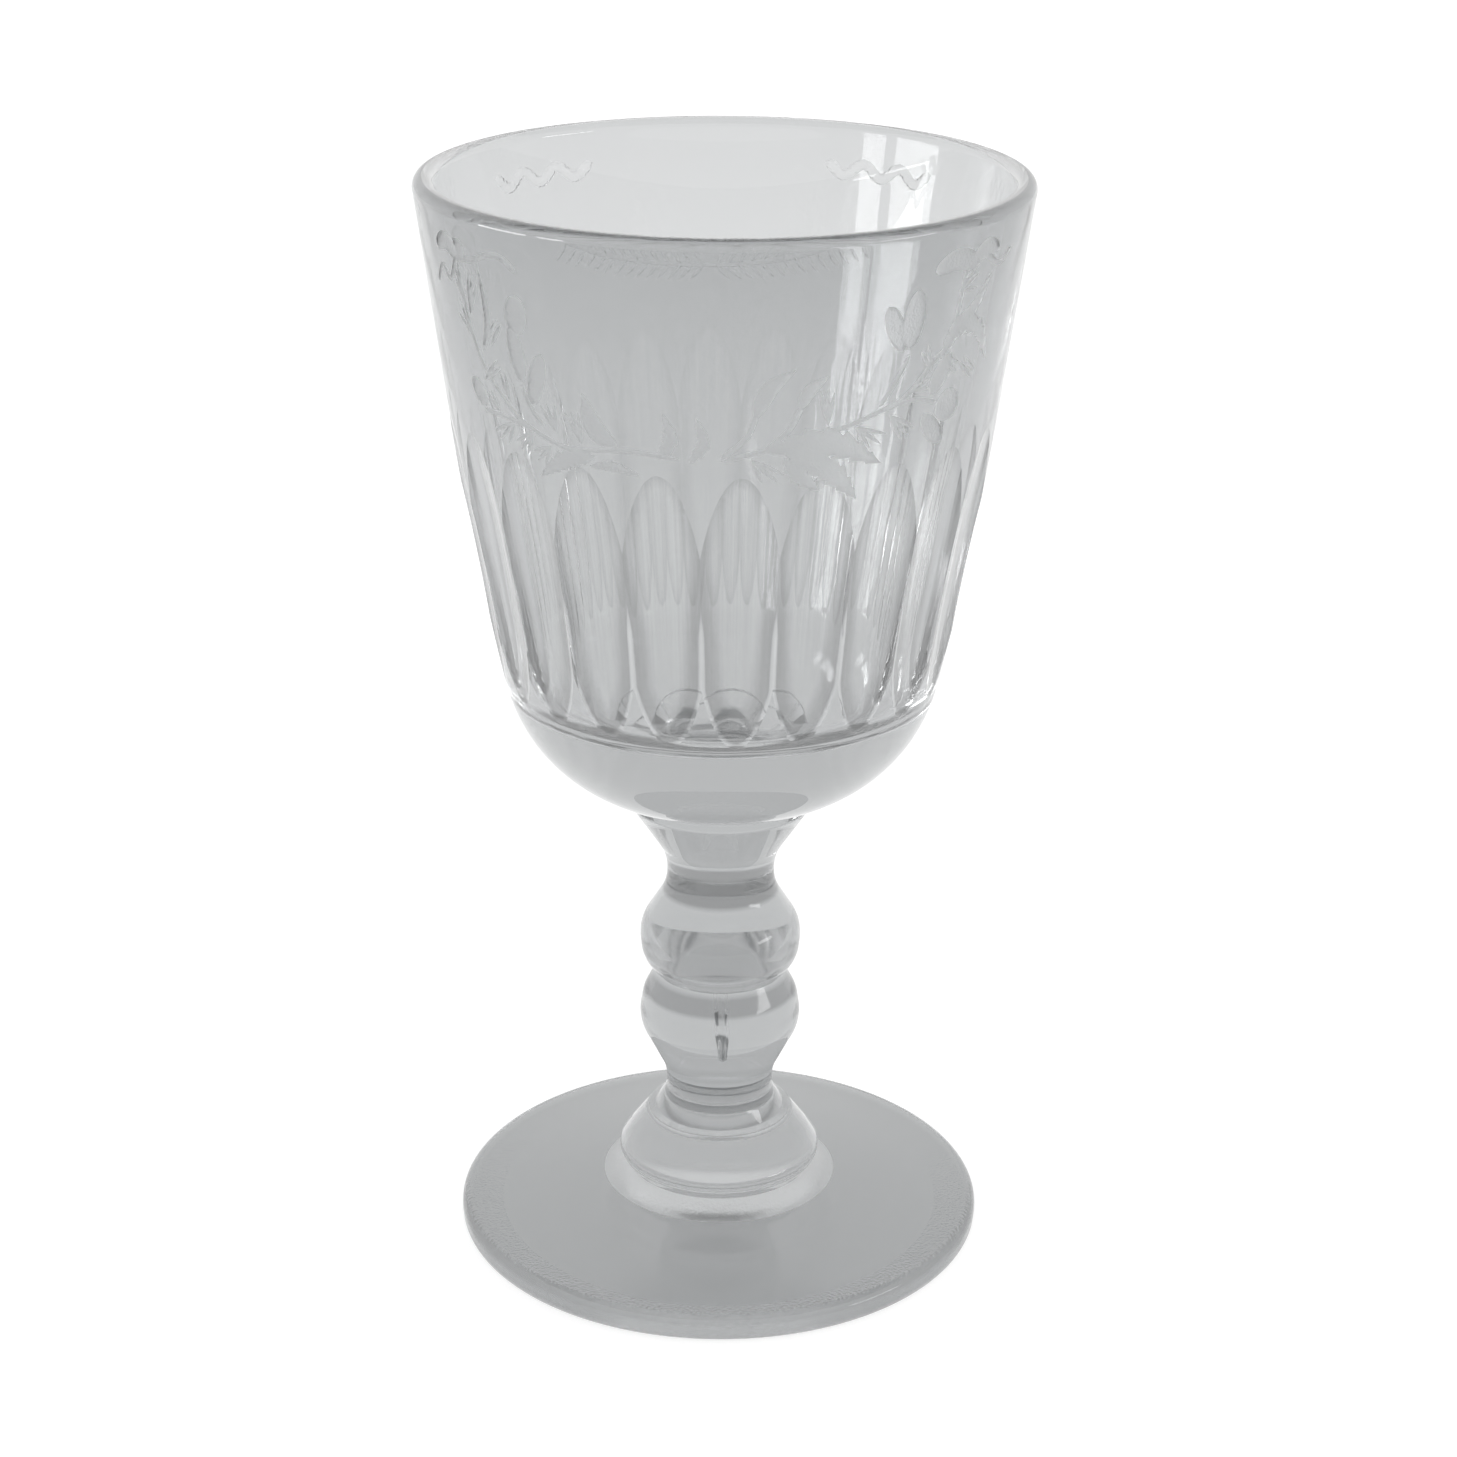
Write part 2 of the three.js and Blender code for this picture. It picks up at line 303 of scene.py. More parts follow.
BOWL_HEIGHT = height_of("bowl")
BOWL_RIM_RADIUS = reach_of("bowl") + RIM_OVER_BOX
OUTSIDE_CORNERS = [
    (BOWL_SEAT_RADIUS, 0),
    (BASE_TURN_RADIUS, BASE_TURN_HEIGHT, BASE_TURN_ROUND),
    (BOWL_WAIST_RADIUS, BOWL_WAIST_HEIGHT, BOWL_WAIST_ROUND),
    (BOWL_RIM_RADIUS, BOWL_HEIGHT, LIP_ROUND),
]
INSIDE_CORNERS = [
    (BOWL_RIM_RADIUS - LIP_THICKNESS, BOWL_HEIGHT, LIP_ROUND),
    (BOWL_WAIST_RADIUS - WALL_AT_WAIST, BOWL_WAIST_HEIGHT, BOWL_WAIST_ROUND),
    (CAVITY_TURN_RADIUS, BASE_THICKNESS + CAVITY_TURN_RISE, CAVITY_TURN_ROUND),
    (0, BASE_THICKNESS),
]
WHOLE_OUTLINE = rounded(OUTSIDE_CORNERS + INSIDE_CORNERS, BOWL_ARC_STEP)
WALL = np.array(rounded(OUTSIDE_CORNERS + INSIDE_CORNERS[:1], WALL_ARC_STEP))
WALL = WALL[:int(np.argmax(WALL[:, 1])) + 1]
FLUTE_PITCH = 360 / FLUTE_COUNT

# The fluted and engraved band of the wall, and its scale on the unrolled wall
BAND_FOOT = FLUTE_BOTTOM - 0.9
BAND_HEAD = BOWL_HEIGHT - LIP_ROUND - 1.2
BAND_ROW = 0.8
BAND_JOIN = 0.05
SEAM = -90
MM_PER_DEGREE = math.radians(BOWL_WAIST_RADIUS + 2)
DEEPEST_FLUTE = 3
WIDEST_TURN = 30
ARCH_POINTS = 81


def wall_radius(height):
    return np.interp(height, WALL[:, 1], WALL[:, 0])


def from_flute(azimuth):
    """Degrees from the middle of the nearest flute."""
    return (azimuth + FLUTE_PITCH / 2) % FLUTE_PITCH - FLUTE_PITCH / 2


class Barrel:
    """The grinding barrel, whose bowed side runs through the two ends of a flute."""

    low = np.array([wall_radius(FLUTE_BOTTOM), FLUTE_BOTTOM])
    high = np.array([wall_radius(FLUTE_TOP), FLUTE_TOP])
    half_length = np.linalg.norm(high - low) / 2
    along = (high - low) / (2 * half_length)
    outward = np.array([along[1], -along[0]])

    @staticmethod
    def bow(distance):
        return FLUTE_BOW - np.sqrt(FLUTE_BOW ** 2 - distance ** 2)

    @classmethod
    def clearance(cls, radius, turn, height):
        """Below zero where a point is inside the barrel; turn is in degrees from its flute."""
        offset = FLUTE_HOLLOW - cls.bow(cls.half_length)
        centre = (cls.low + cls.high) / 2 + cls.outward * offset
        out = radius * np.cos(np.radians(turn)) - centre[0]
        up = height - centre[1]
        side = radius * np.sin(np.radians(turn))
        distance = out * cls.along[0] + up * cls.along[1]
        depth = out * cls.outward[0] + up * cls.outward[1]
        return depth ** 2 + side ** 2 - (FLUTE_HOLLOW - cls.bow(distance)) ** 2


def halved(low, high, is_low):
    """The border between low and high, in arrays, where is_low says on which side a value is."""
    for _ in range(HALVINGS):
        middle = (low + high) / 2
        below = is_low(middle)
        low = np.where(below, middle, low)
        high = np.where(below, high, middle)
    return (low + high) / 2


def fluted_radius(azimuth, height):
    """Radius of the bowl's wall with its flutes, for arrays of azimuth and height."""
    turn = from_flute(azimuth)
    whole = wall_radius(height)
    cut = halved(
        whole - DEEPEST_FLUTE, whole, lambda radius: Barrel.clearance(radius, turn, height) > 0
    )
    return np.where(Barrel.clearance(whole, turn, height) < 0, cut, whole)


def arch_heights():
    """Heights of the points along a flute's edge, closest together at its two ends."""
    share = (1 - np.cos(np.linspace(0, np.pi, ARCH_POINTS))) / 2
    heights = FLUTE_BOTTOM + (FLUTE_TOP - FLUTE_BOTTOM) * share
    middle = np.array((FLUTE_BOTTOM + FLUTE_TOP) / 2)

    def on_whole_wall(height):
        return Barrel.clearance(wall_radius(height), FLUTE_PITCH / 2, height) > 0

    ridge_foot = halved(np.array(FLUTE_BOTTOM), middle, on_whole_wall)
    ridge_head = halved(np.array(FLUTE_TOP), middle, on_whole_wall)
    return np.sort(np.append(heights, [ridge_foot, ridge_head]))


ARCH_HEIGHTS = arch_heights()
ARCH_TURNS = np.minimum(FLUTE_PITCH / 2, halved(
    np.zeros_like(ARCH_HEIGHTS), np.full_like(ARCH_HEIGHTS, WIDEST_TURN),
    lambda turn: Barrel.clearance(wall_radius(ARCH_HEIGHTS), turn, ARCH_HEIGHTS) < 0,
))
ARCH = np.column_stack([ARCH_TURNS * MM_PER_DEGREE, ARCH_HEIGHTS])


# The engraving, cut into the bowl's wall by a wheel. Places are (azimuth, height on the bowl).

STEM_WIDTH = 0.62
NEEDLE_WIDTH = 0.55
RIBBON_WIDTH = 0.7
GARLAND_STEM_WIDTH = 0.6
WAVE_WIDTH = 1.5
STEM_DEPTH = 0.084
NEEDLE_DEPTH = 0.096
WAVE_DEPTH = 0.12
LEAF_DEPTH = 0.144
BOW_DEPTH = 0.156
BERRY_DEPTH = 0.18
BUD_DEPTH = 0.192
TOOTH_SHARE = 0.38
SLOPE_SHARE = 0.3
BERRY_SLOPE_SHARE = 0.6
LEAST_SLOPE = 0.25
PATH_STEP = 0.5
LEAF_STEP = 0.4
TOOTHED_LEAF_STEP = 0.22
CURVE_POINTS = 12
BERRY_POINTS = 28


def flat(azimuth, height):
    """A place on the unrolled wall, in millimetres."""
    return np.array([azimuth * MM_PER_DEGREE, height])


# Shapes of a cut: how much of its full width it has at each share of its length

def spindle(share):
    return np.sin(np.pi * share) ** 0.75


def oval(share):
    return np.sqrt(np.clip(1 - (2 * share - 1) ** 2, 0, 1))


def leaf(share):
    return np.sin(np.pi * share ** 0.8) ** 0.9


def band(share):
    return np.clip(np.minimum(share, 1 - share) * 30, 0.15, 1)


def smooth_path(points, step):
    """Points at an even step along a smooth curve through the given ones."""
    points = np.array(points, float)
    padded = np.vstack([2 * points[0] - points[1], points, 2 * points[-1] - points[-2]])
    path = []
    for a, b, c, d in zip(padded, padded[1:], padded[2:], padded[3:]):
        for t in np.linspace(0, 1, CURVE_POINTS, endpoint=False):
            path.append(0.5 * (
                2 * b + (c - a) * t + (2 * a - 5 * b + 4 * c - d) * t ** 2
                + (3 * b - a - 3 * c + d) * t ** 3
            ))
    path = np.array(path + [points[-1]])
    run = np.append(0, np.cumsum(np.linalg.norm(np.diff(path, axis=0), axis=1)))
    at = np.linspace(0, run[-1], max(3, int(run[-1] / step) + 1))
    return np.column_stack([np.interp(at, run, path[:, i]) for i in range(2)])


def sides_of(path):
    """Unit vectors to the left of each point of a path."""
    heading = np.gradient(path, axis=0)
    heading /= np.linalg.norm(heading, axis=1)[:, None]
    return np.column_stack([-heading[:, 1], heading[:, 0]])


class Engraving:
    """Closed outlines on the unrolled wall, each with its depth and the width of its slope."""

    def __init__(self):
        self.cuts = []

    def blade(self, places, width, shape, depth, teeth=0, step=PATH_STEP):
        """A cut along a curve through the places, as wide as its shape says."""
        path = smooth_path([flat(*place) for place in places], step)
        share = np.linspace(0, 1, len(path))
        notch = 1 - TOOTH_SHARE * ((share * teeth) % 1)
        half = (width / 2 * shape(share) * notch)[:, None]
        side = sides_of(path)
        outline = np.vstack([(path + side * half)[:-1], (path - side * half)[:0:-1]])
        self.cuts.append((outline, depth, max(LEAST_SLOPE, width * SLOPE_SHARE)))

    def sprig(self, base, tips):
        for tip in tips:
            self.blade([base, tip], NEEDLE_WIDTH, spindle, NEEDLE_DEPTH)

    def berry(self, azimuth, height, radius):
        turn = np.linspace(0, math.tau, BERRY_POINTS, endpoint=False)
        ring = flat(azimuth, height) + radius * np.column_stack([np.cos(turn), np.sin(turn)])
        self.cuts.append((ring, BERRY_DEPTH, radius * BERRY_SLOPE_SHARE))

    def depth_at(self, points):
        """How deep the wall is cut at each point, and a negative number outside every cut."""
        deepest = np.full(len(points), -1.0)
        for outline, depth, slope in self.cuts:
            low, high = outline.min(0), outline.max(0)
            near = np.where(((points >= low) & (points <= high)).all(1))[0]
            if not len(near):
                continue
            inside, distance = place_in(outline, points[near])
            reached = 1 - np.clip(distance / slope, 0, 1)
            cut = np.where(inside, depth * np.sqrt(1 - reached ** 2), -1)
            deepest[near] = np.maximum(deepest[near], cut)
        return deepest


def place_in(outline, points):
    """Whether each point is inside a closed outline, and how far it is from its line."""
    a, b = outline, np.roll(outline, -1, 0)
    spans = (a[:, 1] > points[:, 1:]) != (b[:, 1] > points[:, 1:])
    rise = np.where(b[:, 1] == a[:, 1], 1, b[:, 1] - a[:, 1])
    crossing = a[:, 0] + (points[:, 1:] - a[:, 1]) / rise * (b[:, 0] - a[:, 0])
    inside = (spans & (points[:, :1] < crossing)).sum(1) % 2 == 1
    edge = b - a
    t = ((points[:, None] - a) * edge).sum(2) / np.maximum((edge ** 2).sum(1), 1e-12)
    nearest = a + np.clip(t, 0, 1)[..., None] * edge
    return inside, np.linalg.norm(points[:, None] - nearest, axis=2).min(1)


engraving = Engraving()

# The two branches of the wreath, from below its middle up to the bows
STEMS = [
    [(-12, 57.6), (-23.2, 58.2), (-34, 57.4), (-43.9, 59.2), (-48.9, 61.2), (-55.8, 66),
     (-58.8, 71.6), (-60, 78.4)],
    [(-43.9, 59.2), (-50.8, 59.7), (-57.5, 59.7)],
    [(-40, 59.7), (-42.8, 61.5), (-44.7, 64.3)],
    [(-4.2, 57.4), (10, 59.7), (19.8, 61.1), (27.1, 62.5), (33, 64), (39.1, 67.9), (43, 70.3),
     (45, 79.8)],
    [(27.1, 62.5), (34, 63.3), (41, 62.3)],
    [(26.9, 63), (30.8, 66.9), (32.6, 69.2)],
    [(-4, 57.8), (0.5, 60.3), (2.6, 63.4)],
    [(4, 58.6), (8.6, 61.2), (11, 64.2)],
]
# Each with the place that its needles grow from and their tips
SPRIGS = [
    ((-57.8, 71.8), [(-56.8, 77.6), (-55.4, 77.4), (-54.2, 76.4)]),
    ((-59.2, 73.4), [(-62.6, 77), (-61.6, 78.6)]),
    ((-58, 69), [(-62.4, 71.6), (-61.4, 73.6)]),
    ((-53.4, 69.1), [(-49.6, 72.3)]),
    ((-52.4, 68.6), [(-48.6, 71.8)]),
    ((-55.9, 63.7), [(-51.2, 66.9), (-50.2, 66)]),
    ((-48.7, 61.8), [(-50.8, 65.4), (-49.2, 65.8)]),
    ((-52.3, 60), [(-56.2, 62.4), (-54.4, 62.7)]),
    ((-37.2, 59.1), [(-40.8, 62.6), (-39.1, 62.9), (-37.2, 62.9)]),
    ((-31.6, 58.2), [(-35.2, 62.2), (-33.6, 62.3), (-32, 62.5)]),
    ((-48, 59.3), [(-54.5, 57.5), (-53.3, 56.4), (-51, 55.9)]),
    ((-43, 58.7), [(-48.5, 56.8), (-47.2, 55.8), (-45.4, 55.4)]),
    ((-39, 57.3), [(-43.9, 56.1), (-42.8, 55), (-41, 54.5)]),
    ((22.2, 60.9), [(29.3, 59.4), (28.2, 58.2), (25.7, 57.9)]),
    ((29.5, 61.8), [(35.9, 59.6), (34.7, 58.6), (32.7, 58.4)]),
    ((38.8, 66.4), [(35.4, 69.3), (36.8, 70.1)]),
    ((40.6, 68.2), [(46.4, 66.8), (46.2, 65.4)]),
    ((46.8, 66.7), [(51.3, 64.1)]),
    ((48, 67.2), [(52.4, 64.8)]),
    ((1.9, 57.6), [(8.4, 55.5), (7, 54.5), (3.9, 54.5)]),
    ((16.4, 61.4), [(14.4, 66.2), (15.8, 66.3), (17.2, 65.8)]),
    ((43.4, 76), [(48, 79), (49, 77.8), (48.6, 76)]),
    ((33.4, 64.4), [(38.6, 65.6), (38.9, 64.4)]),
]
# Each with its two ends and its width
BUDS = [
    ((-44.6, 64.9), (-46, 71.9), 2.4),
    ((-42.6, 62.3), (-39.2, 69.1), 2.4),
    ((-45, 70.9), (-43.8, 76), 3.2),
    ((39.1, 63.4), (43.7, 68.3), 2.6),
    ((31.1, 69.8), (26.8, 75.8), 2.5),
    ((32.5, 70), (33.2, 77.4), 2.9),
    ((37.7, 60.9), (44.2, 56.6), 2.5),
    ((-56.5, 60.2), (-60.5, 63.6), 2.6),
]
# Each with the places that it runs through, its width and its teeth
LEAVES = [
    ([(-29, 56.9), (-36, 55.8), (-42.6, 52.9)], 2.9, 8),
    ([(-30.4, 55.6), (-25, 55.9), (-19.6, 55)], 1.5, 7),
    ([(-24.2, 58.6), (-28.6, 60.6), (-30.9, 65)], 2.6, 0),
    ([(-55, 67.5), (-52.4, 72), (-53.4, 78.5)], 1.1, 0),
    ([(4.6, 58.8), (17, 59.2), (28.8, 55.6)], 4.4, 7),
    ([(9, 58), (17, 55.8), (23.8, 51.4)], 3.9, 7),
    ([(8, 57.6), (11.4, 55.2), (15.8, 53)], 2.4, 5),
    ([(2.2, 62.9), (4.8, 66.6), (9.6, 69)], 2, 0),
    ([(10.6, 63.8), (12.4, 66.2), (15.8, 67.8)], 1.6, 0),
    ([(42.5, 71.9), (48.8, 73.4), (53.2, 77.4)], 1.9, 7),
    ([(40.7, 67.9), (45, 71.4), (51.5, 70.4), (56.5, 65.7)], 2.9, 9),
    ([(-16, 57.4), (-13.6, 60.2), (-15, 63.4)], 2, 5),
    ([(-10, 57.2), (-7.4, 59.6), (-8.6, 63)], 1.8, 5),
]
# The loops of the bows, each with its width
BOWS = [
    ([(-59.6, 78.4), (-63.5, 80.4), (-68, 79.2)], 2.4),
    ([(-60.2, 78.4), (-58.6, 80), (-60.2, 81.2)], 2),
    ([(36.4, 79.2), (42, 80.2), (48.6, 79)], 2.8),
    ([(46.4, 79.2), (50, 80.8), (55, 80.2)], 2.2),
]
RIBBONS = [
    [(-59.6, 79), (-55, 79.1), (-50.2, 80.3), (-46.3, 80.4), (-43, 78.9)],
    [(-60, 79), (-63.6, 75.6), (-66.4, 77), (-70, 74.4)],
    [(46, 80.4), (50.4, 79.8), (55.7, 78.2), (60, 79.6)],
]
BERRY = (44.7, 61.4, 2.1)

for path in STEMS:
    engraving.blade(path, STEM_WIDTH, band, STEM_DEPTH)
for base, tips in SPRIGS:
    engraving.sprig(base, tips)
for base, tip, width in BUDS:
    engraving.blade([base, tip], width, oval, BUD_DEPTH)
for path, width, teeth in LEAVES:
    step = TOOTHED_LEAF_STEP if teeth else LEAF_STEP
    engraving.blade(path, width, leaf, LEAF_DEPTH, teeth, step)
for path, width in BOWS:
    engraving.blade(path, width, oval, BOW_DEPTH)
for path in RIBBONS:
    engraving.blade(path, RIBBON_WIDTH, band, STEM_DEPTH)
engraving.berry(*BERRY)

# The two wavy lines under the rim, at the back
WAVE_COUNT = 3
WAVE_RISE = 0.85
WAVE_HEIGHT = 78.4
WAVE_POINTS = 8
WAVE_ENDS = [(128.6, 155), (231.6, 205)]


def scroll(start, end):
    share = np.linspace(0, 1, WAVE_COUNT * WAVE_POINTS + 1)
    rise = np.cos(share * WAVE_COUNT * math.tau) * WAVE_RISE
    path = [(start + (end - start) * s, WAVE_HEIGHT + r) for s, r in zip(share, rise)]
    engraving.blade(path, WAVE_WIDTH, band, WAVE_DEPTH)


for start, end in WAVE_ENDS:
    scroll(start, end)

# The garland between them, with needles on both sides of its stem
GARLAND_START = 142
GARLAND_END = 218
GARLAND_STEP = 2.6
GARLAND_HEAD = 68.4
GARLAND_SAG = 5
NEEDLE_REACHES = [(3.2, 2.2), (3.52, -1.9)]


def garland():
    count = round((GARLAND_END - GARLAND_START) / GARLAND_STEP)
    path = []
    for i in range(count + 1):
        across = 2 * i / count - 1
        height = GARLAND_HEAD - GARLAND_SAG * (1 - across ** 2)
        path.append((GARLAND_START + i * GARLAND_STEP, height))
    engraving.blade(path, GARLAND_STEM_WIDTH, band, STEM_DEPTH)
    for azimuth, height in path[1:-1]:
        side = -1 if azimuth < (GARLAND_START + GARLAND_END) / 2 else 1
        engraving.sprig((azimuth, height), [
            (azimuth + side * along, height + rise) for along, rise in NEEDLE_REACHES
        ])


garland()

# Fineness of the wall, and how near the points of its grids may lie to its lines
TINY = 1e-6
GUIDE_STEP = 0.2
COARSE_GAP = 0.3
FINE_GAP = 0.13
FINE_PITCH = 0.36
RIDGE_GAP = 0.3
EDGE_STEPS = (0.3, 0.8, 1.5)
EDGE_FOOT = FLUTE_BOTTOM + 0.4
EDGE_HEAD = FLUTE_TOP - 1.2
EDGE_LEAST = 0.3
EDGE_FINENESS = 8


class WallPlan:
    """Points and lines on the unrolled wall, and guides that keep other points off the lines."""

    def __init__(self):
        self.points = []
        self.edges = []
        self.guides = []

    def line(self, places, closed=False):
        first = len(self.points)
        count = len(places)
        self.points.extend(places)
        self.edges.extend(
            (first + i, first + (i + 1) % count) for i in range(count - (not closed))
        )
        ends = np.array(list(places) + [places[0]] * closed)
        for a, b in zip(ends, ends[1:]):
            pieces = max(1, int(np.linalg.norm(b - a) / GUIDE_STEP))
            shares = np.linspace(0, 1, pieces, endpoint=False)
            self.guides.extend(a + (b - a) * share for share in shares)
        self.guides.append(ends[-1])

    def border(self, ring, rows):
        """The four sides of the band, with rows that keep clear of the ends of the ridge."""
        ridge = ARCH_HEIGHTS[ARCH_TURNS >= FLUTE_PITCH / 2 - TINY]
        clear = (rows < ridge[0] - RIDGE_GAP) | (rows > ridge[-1] + RIDGE_GAP)
        side = np.sort(np.append(rows[clear], ridge))
        self.line([flat(a, BAND_FOOT) for a in ring])
        self.line([flat(a, BAND_HEAD) for a in ring])
        self.line([flat(ring[0], h) for h in side])
        self.line([flat(ring[-1], h) for h in side])

    def arches(self):
        """The edges of the flutes, with rows of points beside them inside each flute."""
        inward = sides_of(ARCH)
        long = (ARCH_HEIGHTS > EDGE_FOOT) & (ARCH_HEIGHTS < EDGE_HEAD)
        for k in range(FLUTE_COUNT):
            middle = flat(SEAM + FLUTE_PITCH * (k + 0.5), 0)
            for sign in (-1, 1):
                self.line(middle + ARCH * (sign, 1))
                for step in EDGE_STEPS:
                    inner = ARCH + inward * step
                    inner = inner[(inner[:, 0] > EDGE_LEAST) & long]
                    self.points.extend(middle + inner * (sign, 1))

    def grids(self, ring, rows):
        """A coarse grid outside the cuts, and a fine one inside them."""
        tree = tree_of(self.guides)
        coarse = np.array([
            flat(a + 360 / COLUMNS * (j % 2) / 2, h)
            for j, h in enumerate(rows[1:-1]) for a in ring[1:-1]
        ])
        cells = set()
        for outline, _, _ in engraving.cuts:
            low = np.floor(outline.min(0) / FINE_PITCH).astype(int)
            high = np.ceil(outline.max(0) / FINE_PITCH).astype(int)
            across = range(low[0], high[0] + 1)
            cells.update((i, j) for i in across for j in range(low[1], high[1] + 1))
        fine = np.array([
            ((i + (j % 2) / 2) * FINE_PITCH, j * FINE_PITCH) for i, j in sorted(cells)
        ])
        for grid, inside, gap in ((coarse, False, COARSE_GAP), (fine, True, FINE_GAP)):
            grid = grid[(engraving.depth_at(grid) >= 0) == inside]
            self.points.extend(p for p in grid if tree.find((p[0], p[1], 0))[2] > gap)

    def mesh(self):
        """Places and triangles between the points, which keep the lines as edges."""
        made = delaunay_2d_cdt([Vector(p) for p in self.points], self.edges, [], 0, TINY, False)
        return np.array([tuple(p) for p in made[0]]), np.array([list(f) for f in made[2]])


def tree_of(places):
    """A tree that finds the nearest of the places."""
    tree = KDTree(len(places))
    for i, place in enumerate(places):
        tree.insert((place[0], place[1], 0), i)
    tree.balance()
    return tree


# Width and strength of the painted highlight and shade beside a flute's edge, by height, and how
# it fades at the back
FLUTE_PAINTED_LIGHT_WIDTHS = ([FLUTE_BOTTOM, FLUTE_BOTTOM + 16, FLUTE_TOP], [4.4, 2.8, 1.2])
FLUTE_PAINTED_LIGHT_STRENGTHS = ([FLUTE_BOTTOM + 16, FLUTE_TOP - 6], [1, 0.4])
FLUTE_PAINTED_LIGHT_BY_AZIMUTH = ([75, 115], [1, 0.3])


def flute_painted_light_shares(azimuth, height):
    """0 on the edge of a flute, where a highlight is painted, rising to 1 inside it, and nearer
    1 where the painted shade beside the edge is faint.
    """
    fine = np.linspace(0, 1, len(ARCH) * EDGE_FINENESS)
    coarse = np.linspace(0, 1, len(ARCH))
    edge = tree_of(np.column_stack([np.interp(fine, coarse, ARCH[:, i]) for i in range(2)]))
    across = np.abs(from_flute(azimuth)) * MM_PER_DEGREE
    away = np.array([edge.find((x, y, 0))[2] for x, y in zip(across, height)])
    strength = np.interp(height, *FLUTE_PAINTED_LIGHT_STRENGTHS)
    strength *= np.interp(np.abs(azimuth), *FLUTE_PAINTED_LIGHT_BY_AZIMUTH)
    return 1 - (1 - np.clip(away / np.interp(height, *FLUTE_PAINTED_LIGHT_WIDTHS), 0, 1)) * strength


def engraved_wall():
    """Points, faces, slots and shares of the band from below the flutes to under the lip."""
    ring = SEAM + 360 / COLUMNS * np.arange(COLUMNS + 1)
    rows = np.linspace(BAND_FOOT, BAND_HEAD, round((BAND_HEAD - BAND_FOOT) / BAND_ROW) + 1)
    plan = WallPlan()
    plan.border(ring, rows)
    plan.arches()
    for outline, _, _ in engraving.cuts:
        plan.line(outline, closed=True)
    plan.grids(ring, rows)
    place, faces = plan.mesh()

    azimuth = place[:, 0] / MM_PER_DEGREE
    height = place[:, 1]
    radius = fluted_radius(azimuth, height) - np.maximum(engraving.depth_at(place), 0)
    turn = np.radians(azimuth)
    solid = np.column_stack([radius * np.sin(turn), -radius * np.cos(turn), height])

    middle = place[faces].mean(1)
    turn = from_flute(middle[:, 0] / MM_PER_DEGREE)
    ground = Barrel.clearance(wall_radius(middle[:, 1]), turn, middle[:, 1]) < 0
    ground &= (middle[:, 1] > FLUTE_BOTTOM) & (middle[:, 1] < FLUTE_TOP)
    matt = engraving.depth_at(middle) >= 0
    slots = np.where(matt, ENGRAVED, np.where(ground, FLUTED, POLISHED))
    return solid, faces.tolist(), slots.tolist(), flute_painted_light_shares(azimuth, height).tolist()


# Materials

# A glass's tint is what light keeps on its way in and out of a solid piece, or through two
# walls of the bowl, whose inner side has no tint. Its ripple is the height of its waves in
# metres, and its ripples are how many of them there are to a metre on each axis.
POLISHED, JOINT, FLUTED, ENGRAVED, INNER, CAVITY_FLOOR = range(6)
WORN, HAZY_PAINTED_LIGHT = 3, 4
GLASS_IOR = 1.5
WALL_TINT = (0.46, 0.47, 0.475)
# Painted shade: the bowl's tint darkens from the middle of the wall up to the lip, though the
# glass there is no darker.
LIP_PAINTED_SHADE_TINT = (0.33, 0.34, 0.345)
ENGRAVED_TINT = (0.4, 0.41, 0.415)
STEM_TINT = (0.44, 0.45, 0.455)
WAFER_TINT = (0.54, 0.55, 0.555)
FOOT_TINT = (0.42, 0.43, 0.435)
# Real haze with painted light: the boss's tint is lighter than the foot's.
HAZE_AND_PAINTED_LIGHT_TINT = (0.66, 0.67, 0.675)
NO_TINT = (1, 1, 1)
# Painted shade: darker tints for bands at the upper necks, the lower neck and the lower knop's
# shoulder by the waist, which stand in for dark surroundings seen through the glass.
UPPER_NECK_PAINTED_SHADE_TINT = (0.16, 0.164, 0.166)
SHOULDER_PAINTED_SHADE_TINT = (0.19, 0.195, 0.198)
LOWER_NECK_PAINTED_SHADE_TINT = (0.36, 0.37, 0.375)
SLIGHT = 0.00003
WALL_RIPPLES = (60, 60, 25)
STEM_RIPPLES = (60, 60, 60)

# Heights in metres, each with the tint there, for bands of painted shade where the glass is made
# darker than it is
WALL_PAINTED_SHADE_BANDS = [(0.108, WALL_TINT), (0.15, LIP_PAINTED_SHADE_TINT)]
COLLAR_PAINTED_SHADE_BANDS = [(0.0534, UPPER_NECK_PAINTED_SHADE_TINT), (0.0538, UPPER_NECK_PAINTED_SHADE_TINT), (0.0546, STEM_TINT)]
STEM_PAINTED_SHADE_BANDS = [
    (0.0208, STEM_TINT), (0.0216, LOWER_NECK_PAINTED_SHADE_TINT), (0.0242, LOWER_NECK_PAINTED_SHADE_TINT),
    (0.025, STEM_TINT), (0.0349, STEM_TINT), (0.0355, SHOULDER_PAINTED_SHADE_TINT),
    (0.0374, SHOULDER_PAINTED_SHADE_TINT), (0.0382, STEM_TINT), (0.0501, STEM_TINT),
    (0.0508, UPPER_NECK_PAINTED_SHADE_TINT), (0.0534, UPPER_NECK_PAINTED_SHADE_TINT),
]

# Painted highlight on a flute's edge and painted shade beside it, from its edge inwards: place
# and level
FLUTE_EDGE_PAINTED_HIGHLIGHT = (0.66, 0.67, 0.675)
FLUTE_PAINTED_SHADE_TONES = [(0.1, 0.5), (0.17, 0.23), (0.5, 0.27)]
FLUTE_HUE = (1, 1.02, 1.03)

# The wheel's lines, fine round the axis, and how they fade by height and depth in metres
WHEEL_LINES = (105, 1, 14)
LINES_BY_HEIGHT = (0.086, 0.112, 0.12, 0.45)
LINES_BY_DEPTH = (-0.012, 0.012, 1, 0.35)
LINE_LEVELS = (0.35, 0.65, 0.76, 1.24)


def material(name):
    made = bpy.data.materials.new(name)
    made.use_nodes = True
    return made, made.node_tree


